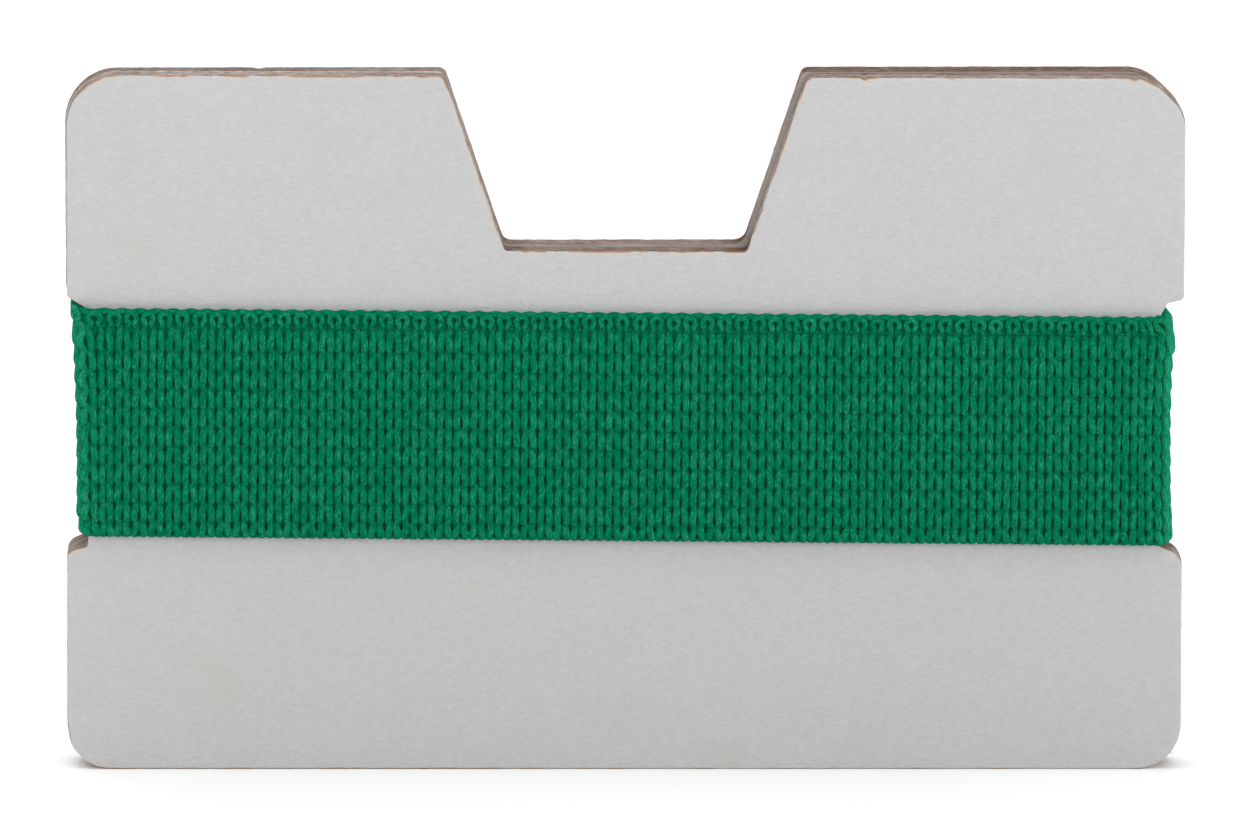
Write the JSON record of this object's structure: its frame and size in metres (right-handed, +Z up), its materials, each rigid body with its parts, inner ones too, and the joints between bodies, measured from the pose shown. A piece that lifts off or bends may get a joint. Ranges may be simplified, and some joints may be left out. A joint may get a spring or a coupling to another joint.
{
  "type": "card holder",
  "caption": "Flat card holder of two laminated leather-fibre plates with a thumb cut-out, held together by a wide knitted elastic loop seated in side notches.",
  "frame": {"origin": "centre of the bounding box in plan, on the surface that the lower edges stand on", "axes": "+X along the width, -Y out of the front face, +Z up towards the thumb cut-out"},
  "size_m": [0.0952, 0.0068, 0.0609],
  "materials": {
    "coated_leather": "satin silver-grey coat with a fine, faintly wavy grain",
    "leather_fibre_board": "matt fibrous laser-cut edge, brown-grey",
    "lining": "matt coated grey",
    "knit_elastic": "matt knitted yarn, deep green"
  },
  "bodies": {
    "back_plate": {"back_lining": "lining", "back_board": "leather_fibre_board", "back_facing": "coated_leather", "elastic_loop": "knit_elastic"},
    "front_plate": {"front_facing": "coated_leather", "front_board": "leather_fibre_board", "front_lining": "lining"}
  },
  "joints": [
    {"name": "front_plate_spread", "type": "slide", "parent": "back_plate", "child": "front_plate", "axis": [0, -1, 0], "range_m": [0, 0.008], "stiffness_N_per_m": 457, "springref_m": -0.0095, "deforming": ["elastic_loop"]}
  ]
}
